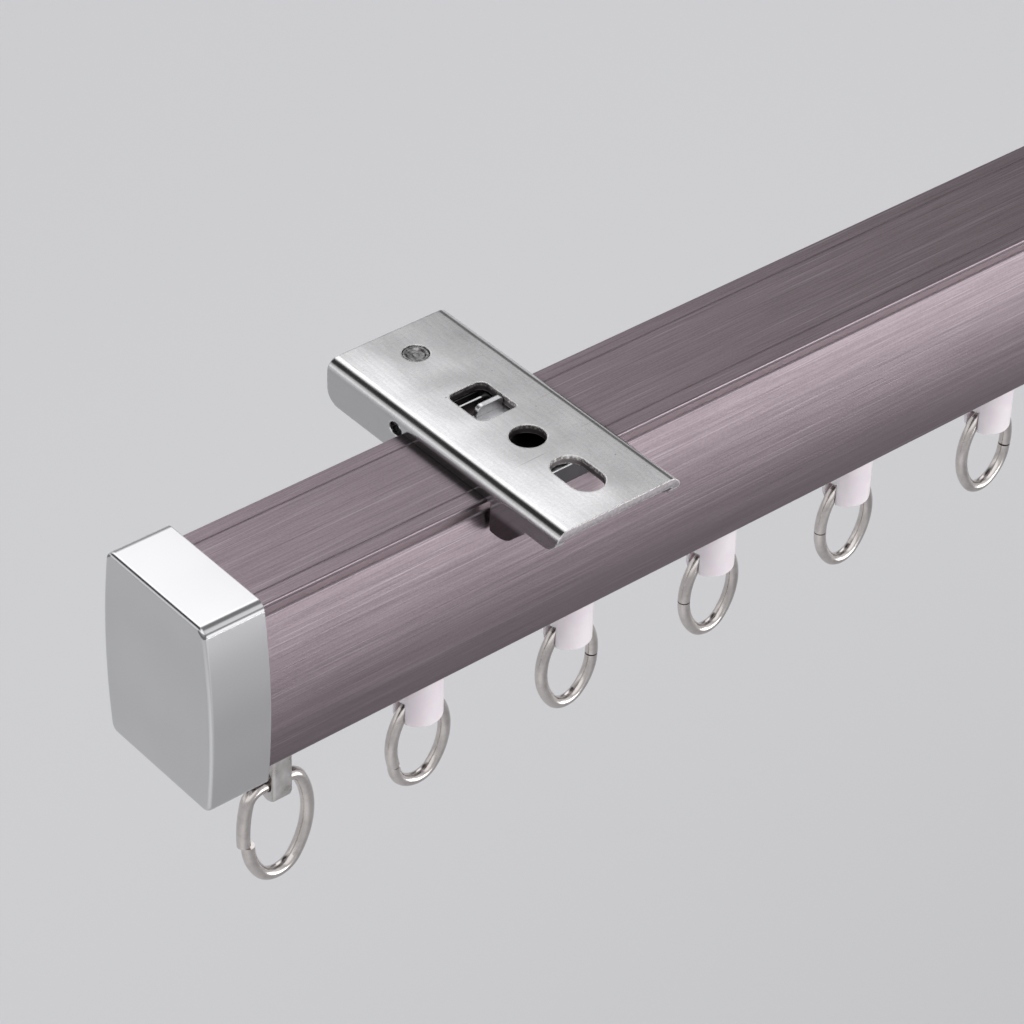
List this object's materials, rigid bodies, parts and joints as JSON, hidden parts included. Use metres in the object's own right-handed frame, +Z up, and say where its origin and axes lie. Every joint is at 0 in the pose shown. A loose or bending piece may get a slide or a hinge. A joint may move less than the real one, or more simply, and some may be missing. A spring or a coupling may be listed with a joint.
{
  "type": "curtain track",
  "caption": "Ceiling curtain track: an extruded rail with capped ends, clip-on ceiling brackets with latches, sliding runners and hanging wire rings.",
  "frame": {"origin": "on the ceiling face of the brackets, midway between their two round screw holes", "axes": "+X along the rail, +Y towards the side away from the latches, +Z up to the ceiling"},
  "size_m": [0.321, 0.0396, 0.0492],
  "materials": {
    "rail_aluminium": "brushed, anodised",
    "cap_metal": "satin",
    "stop_metal": "cast, nickel plated",
    "ring_wire": "warm nickel plate",
    "cover_steel": "bright plated",
    "latch_steel": "plated",
    "spring_steel": "spring wire",
    "rivet_steel": "plated",
    "runner_plastic": "moulded, milky"
  },
  "bodies": {
    "track": {"rail": "rail_aluminium", "near_end_cap": "cap_metal", "near_end_stop": "stop_metal", "near_bracket_cover": "cover_steel", "near_spring_rivet": "rivet_steel", "near_latch_spring": "spring_steel", "far_end_cap": "cap_metal", "far_end_stop": "stop_metal", "far_bracket_cover": "cover_steel", "far_spring_rivet": "rivet_steel", "far_latch_spring": "spring_steel"},
    "near_latch": {"near_latch_plate": "latch_steel"},
    "near_end_loop": {"near_end_ring": "ring_wire"},
    "far_latch": {"far_latch_plate": "latch_steel"},
    "far_end_loop": {"far_end_ring": "ring_wire"},
    "glider_01": {"runner_01": "runner_plastic"},
    "loop_01": {"runner_ring_01": "ring_wire"},
    "glider_02": {"runner_02": "runner_plastic"},
    "loop_02": {"runner_ring_02": "ring_wire"},
    "glider_03": {"runner_03": "runner_plastic"},
    "loop_03": {"runner_ring_03": "ring_wire"},
    "glider_04": {"runner_04": "runner_plastic"},
    "loop_04": {"runner_ring_04": "ring_wire"},
    "glider_05": {"runner_05": "runner_plastic"},
    "loop_05": {"runner_ring_05": "ring_wire"},
    "glider_06": {"runner_06": "runner_plastic"},
    "loop_06": {"runner_ring_06": "ring_wire"},
    "glider_07": {"runner_07": "runner_plastic"},
    "loop_07": {"runner_ring_07": "ring_wire"},
    "glider_08": {"runner_08": "runner_plastic"},
    "loop_08": {"runner_ring_08": "ring_wire"},
    "glider_09": {"runner_09": "runner_plastic"},
    "loop_09": {"runner_ring_09": "ring_wire"},
    "glider_10": {"runner_10": "runner_plastic"},
    "loop_10": {"runner_ring_10": "ring_wire"}
  },
  "joints": [
    {"name": "near_latch_release", "type": "slide", "parent": "track", "child": "near_latch", "axis": [0, -1, 0], "range_m": [0, 0.0022], "stiffness_N_per_m": 900, "springref_m": -0.002, "deforming": ["near_latch_spring"]},
    {"name": "near_end_ring_swing", "type": "hinge", "parent": "track", "child": "near_end_loop", "pos_m": [-0.1452, 0.0039, -0.03505], "axis": [1, 0, 0], "range_deg": [-85, 85]},
    {"name": "far_latch_release", "type": "slide", "parent": "track", "child": "far_latch", "axis": [0, -1, 0], "range_m": [0, 0.0022], "stiffness_N_per_m": 900, "springref_m": -0.002, "deforming": ["far_latch_spring"]},
    {"name": "far_end_ring_swing", "type": "hinge", "parent": "track", "child": "far_end_loop", "pos_m": [0.1452, 0.0039, -0.03505], "axis": [1, 0, 0], "range_deg": [-85, 85]},
    {"name": "runner_01_slide", "type": "slide", "parent": "track", "child": "glider_01", "axis": [1, 0, 0], "range_m": [-0.0101, 0.0128]},
    {"name": "ring_01_swing", "type": "hinge", "parent": "glider_01", "child": "loop_01", "pos_m": [-0.1252, 0.0039, -0.03575], "axis": [0, 1, 0], "range_deg": [-55, 55]},
    {"name": "runner_02_slide", "type": "slide", "parent": "track", "child": "glider_02", "axis": [1, 0, 0], "range_m": [-0.0128, 0.0128]},
    {"name": "ring_02_swing", "type": "hinge", "parent": "glider_02", "child": "loop_02", "pos_m": [-0.1032, 0.0039, -0.03575], "axis": [0, 1, 0], "range_deg": [-55, 55]},
    {"name": "runner_03_slide", "type": "slide", "parent": "track", "child": "glider_03", "axis": [1, 0, 0], "range_m": [-0.0128, 0.0128]},
    {"name": "ring_03_swing", "type": "hinge", "parent": "glider_03", "child": "loop_03", "pos_m": [-0.0812, 0.0039, -0.03575], "axis": [0, 1, 0], "range_deg": [-55, 55]},
    {"name": "runner_04_slide", "type": "slide", "parent": "track", "child": "glider_04", "axis": [1, 0, 0], "range_m": [-0.0128, 0.0148]},
    {"name": "ring_04_swing", "type": "hinge", "parent": "glider_04", "child": "loop_04", "pos_m": [-0.0592, 0.0039, -0.03575], "axis": [0, 1, 0], "range_deg": [-55, 55]},
    {"name": "runner_05_slide", "type": "slide", "parent": "track", "child": "glider_05", "axis": [1, 0, 0], "range_m": [-0.0148, 0.0128]},
    {"name": "ring_05_swing", "type": "hinge", "parent": "glider_05", "child": "loop_05", "pos_m": [-0.0352, 0.0039, -0.03575], "axis": [0, 1, 0], "range_deg": [-55, 55]},
    {"name": "runner_06_slide", "type": "slide", "parent": "track", "child": "glider_06", "axis": [1, 0, 0], "range_m": [-0.0128, 0.0128]},
    {"name": "ring_06_swing", "type": "hinge", "parent": "glider_06", "child": "loop_06", "pos_m": [-0.0132, 0.0039, -0.03575], "axis": [0, 1, 0], "range_deg": [-55, 55]},
    {"name": "runner_07_slide", "type": "slide", "parent": "track", "child": "glider_07", "axis": [1, 0, 0], "range_m": [-0.0128, 0.0128]},
    {"name": "ring_07_swing", "type": "hinge", "parent": "glider_07", "child": "loop_07", "pos_m": [0.0088, 0.0039, -0.03575], "axis": [0, 1, 0], "range_deg": [-55, 55]},
    {"name": "runner_08_slide", "type": "slide", "parent": "track", "child": "glider_08", "axis": [1, 0, 0], "range_m": [-0.0128, 0.0128]},
    {"name": "ring_08_swing", "type": "hinge", "parent": "glider_08", "child": "loop_08", "pos_m": [0.0308, 0.0039, -0.03575], "axis": [0, 1, 0], "range_deg": [-55, 55]},
    {"name": "runner_09_slide", "type": "slide", "parent": "track", "child": "glider_09", "axis": [1, 0, 0], "range_m": [-0.0128, 0.0128]},
    {"name": "ring_09_swing", "type": "hinge", "parent": "glider_09", "child": "loop_09", "pos_m": [0.0528, 0.0039, -0.03575], "axis": [0, 1, 0], "range_deg": [-55, 55]},
    {"name": "runner_10_slide", "type": "slide", "parent": "track", "child": "glider_10", "axis": [1, 0, 0], "range_m": [-0.0128, 0.0605]},
    {"name": "ring_10_swing", "type": "hinge", "parent": "glider_10", "child": "loop_10", "pos_m": [0.0748, 0.0039, -0.03575], "axis": [0, 1, 0], "range_deg": [-55, 55]}
  ]
}
